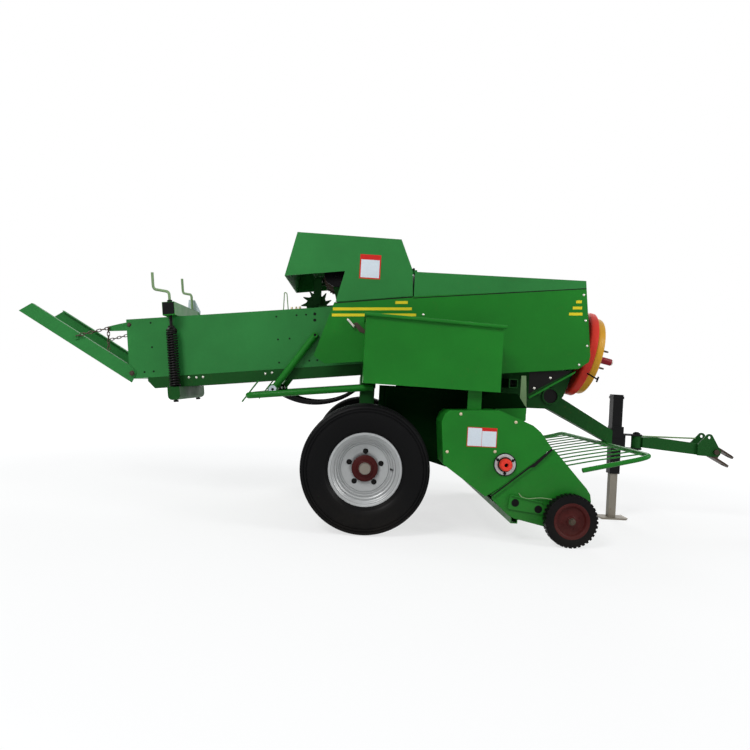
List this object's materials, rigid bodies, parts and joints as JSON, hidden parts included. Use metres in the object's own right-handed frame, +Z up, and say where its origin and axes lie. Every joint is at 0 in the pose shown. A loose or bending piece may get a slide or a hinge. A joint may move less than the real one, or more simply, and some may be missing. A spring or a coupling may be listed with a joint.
{
  "type": "square baler",
  "caption": "Towed in-line square baler: tilted bale chamber, knotter hood, side twine box, tine pickup, flywheel, drawbar with jack and folded bale chute.",
  "frame": {"origin": "middle of the machine's length and width, on the ground", "axes": "+X forward to the hitch, +Y to the machine's left, +Z up"},
  "size_m": [5.0532, 2.028, 1.837],
  "materials": {
    "green_paint": "semi-gloss",
    "deep_green_paint": "semi-gloss",
    "pale_green_paint": "semi-gloss",
    "black_paint": "semi-gloss",
    "dark_steel": "satin",
    "silver_paint": "satin",
    "maroon_paint": "satin",
    "yellow_paint": "semi-gloss",
    "red_paint": "semi-gloss",
    "tyre_rubber": "matte"
  },
  "bodies": {
    "frame": {"bale_chamber": "green_paint", "chamber_rail_right": "green_paint", "chamber_rail_left": "green_paint", "tension_bar_top": "green_paint", "tension_bar_bottom": "green_paint", "drawbar": "green_paint", "front_hood": "green_paint", "side_shield_right": "green_paint", "side_shield_left": "green_paint", "twine_box": "green_paint", "pickup_cover_right": "green_paint", "pickup_cover_left": "green_paint", "needle_yoke": "green_paint", "needle_guard": "green_paint", "meter_arm": "deep_green_paint", "knotter_frame": "deep_green_paint", "axle_frame": "deep_green_paint", "gearbox": "deep_green_paint", "front_cradle": "deep_green_paint", "feeder_housing": "deep_green_paint", "tension_crank_right": "pale_green_paint", "tension_crank_left": "pale_green_paint", "pickup_hanger_right": "pale_green_paint", "pickup_hanger_left": "pale_green_paint", "tension_spring_right": "black_paint", "tension_spring_left": "black_paint", "knotter_shaft": "black_paint", "jack_tube": "black_paint", "needle_right": "black_paint", "needle_left": "black_paint", "chute_chain_right": "dark_steel", "chute_chain_left": "dark_steel", "flywheel_guard": "red_paint"},
    "wheel_right": {"tyre_right": "tyre_rubber", "rim_right": "silver_paint", "hub_right": "maroon_paint"},
    "wheel_left": {"tyre_left": "tyre_rubber", "rim_left": "silver_paint", "hub_left": "maroon_paint"},
    "meter_wheel": {"meter_wheel": "deep_green_paint"},
    "flywheel": {"flywheel": "yellow_paint"},
    "tongue": {"tongue": "green_paint"},
    "hitch_clevis": {"hitch_clevis": "dark_steel"},
    "jack_leg": {"jack_leg": "silver_paint"},
    "knotter_hood": {"knotter_hood": "green_paint"},
    "twine_lid": {"twine_lid": "green_paint"},
    "pickup_lift": {"pickup_sheet_right": "green_paint", "pickup_sheet_left": "green_paint", "pickup_bands": "green_paint"},
    "pickup_reel": {"pickup_reel": "green_paint"},
    "gauge_wheel_right": {"gauge_tyre_right": "tyre_rubber", "gauge_disc_right": "maroon_paint"},
    "gauge_wheel_left": {"gauge_tyre_left": "tyre_rubber", "gauge_disc_left": "maroon_paint"},
    "auger": {"auger": "deep_green_paint"},
    "windguard": {"windguard": "green_paint"},
    "bale_chute": {"bale_chute": "green_paint"}
  },
  "joints": [
    {"name": "wheel_right_spin", "type": "hinge", "parent": "frame", "child": "wheel_right", "pos_m": [-0.16708, -0.84, 0.38], "axis": [0, 1, 0], "continuous": true},
    {"name": "wheel_left_spin", "type": "hinge", "parent": "frame", "child": "wheel_left", "pos_m": [-0.16708, 0.84, 0.38], "axis": [0, 1, 0], "continuous": true},
    {"name": "meter_wheel_spin", "type": "hinge", "parent": "frame", "child": "meter_wheel", "pos_m": [-0.55808, 0, 1.41467], "axis": [0, 1, 0], "continuous": true},
    {"name": "flywheel_spin", "type": "hinge", "parent": "frame", "child": "flywheel", "pos_m": [1.40492, 0, 1.162], "axis": [0.9799, 0, -0.1994], "continuous": true},
    {"name": "tongue_swing", "type": "hinge", "parent": "frame", "child": "tongue", "pos_m": [1.80792, 0, 0.56], "axis": [0, 0, 1], "range_deg": [-20, 20]},
    {"name": "hitch_clevis_swing", "type": "hinge", "parent": "tongue", "child": "hitch_clevis", "pos_m": [2.36692, 0, 0.521], "axis": [0, 1, 0], "range_deg": [-40, 40]},
    {"name": "jack_leg_slide", "type": "slide", "parent": "frame", "child": "jack_leg", "axis": [0, 0, 1], "range_m": [0, 0.2]},
    {"name": "knotter_hood_open", "type": "hinge", "parent": "frame", "child": "knotter_hood", "pos_m": [0.08992, 0, 1.64], "axis": [0, 1, 0], "range_deg": [0, 60]},
    {"name": "twine_lid_open", "type": "hinge", "parent": "frame", "child": "twine_lid", "pos_m": [-0.20708, -0.4425, 1.286], "axis": [-0.9994, 0, 0.0345], "range_deg": [0, 80]},
    {"name": "pickup_lift", "type": "hinge", "parent": "frame", "child": "pickup_lift", "pos_m": [0.64292, 0, 0.453], "axis": [0, -1, 0], "range_deg": [0, 18]},
    {"name": "pickup_reel_spin", "type": "hinge", "parent": "pickup_lift", "child": "pickup_reel", "pos_m": [0.89292, 0, 0.24], "axis": [0, 1, 0], "continuous": true},
    {"name": "gauge_wheel_right_spin", "type": "hinge", "parent": "pickup_lift", "child": "gauge_wheel_right", "pos_m": [1.03192, -0.969, 0.1535], "axis": [0, 1, 0], "continuous": true},
    {"name": "gauge_wheel_left_spin", "type": "hinge", "parent": "pickup_lift", "child": "gauge_wheel_left", "pos_m": [1.03192, 0.969, 0.1535], "axis": [0, 1, 0], "continuous": true},
    {"name": "auger_spin", "type": "hinge", "parent": "frame", "child": "auger", "pos_m": [0.64292, 0, 0.453], "axis": [0, 1, 0], "continuous": true},
    {"name": "windguard_lift", "type": "hinge", "parent": "frame", "child": "windguard", "pos_m": [1.57792, 0, 0.53], "axis": [0, 1, 0], "range_deg": [0, 12]},
    {"name": "bale_chute_fold", "type": "hinge", "parent": "frame", "child": "bale_chute", "pos_m": [-1.74808, 0, 0.857], "axis": [0, 1, 0], "range_deg": [-33, 12], "deforming": ["chute_chain_right", "chute_chain_left"]}
  ],
  "couplings": [
    {"joint": "windguard_lift", "follows": "pickup_lift", "ratio": 0.6}
  ]
}
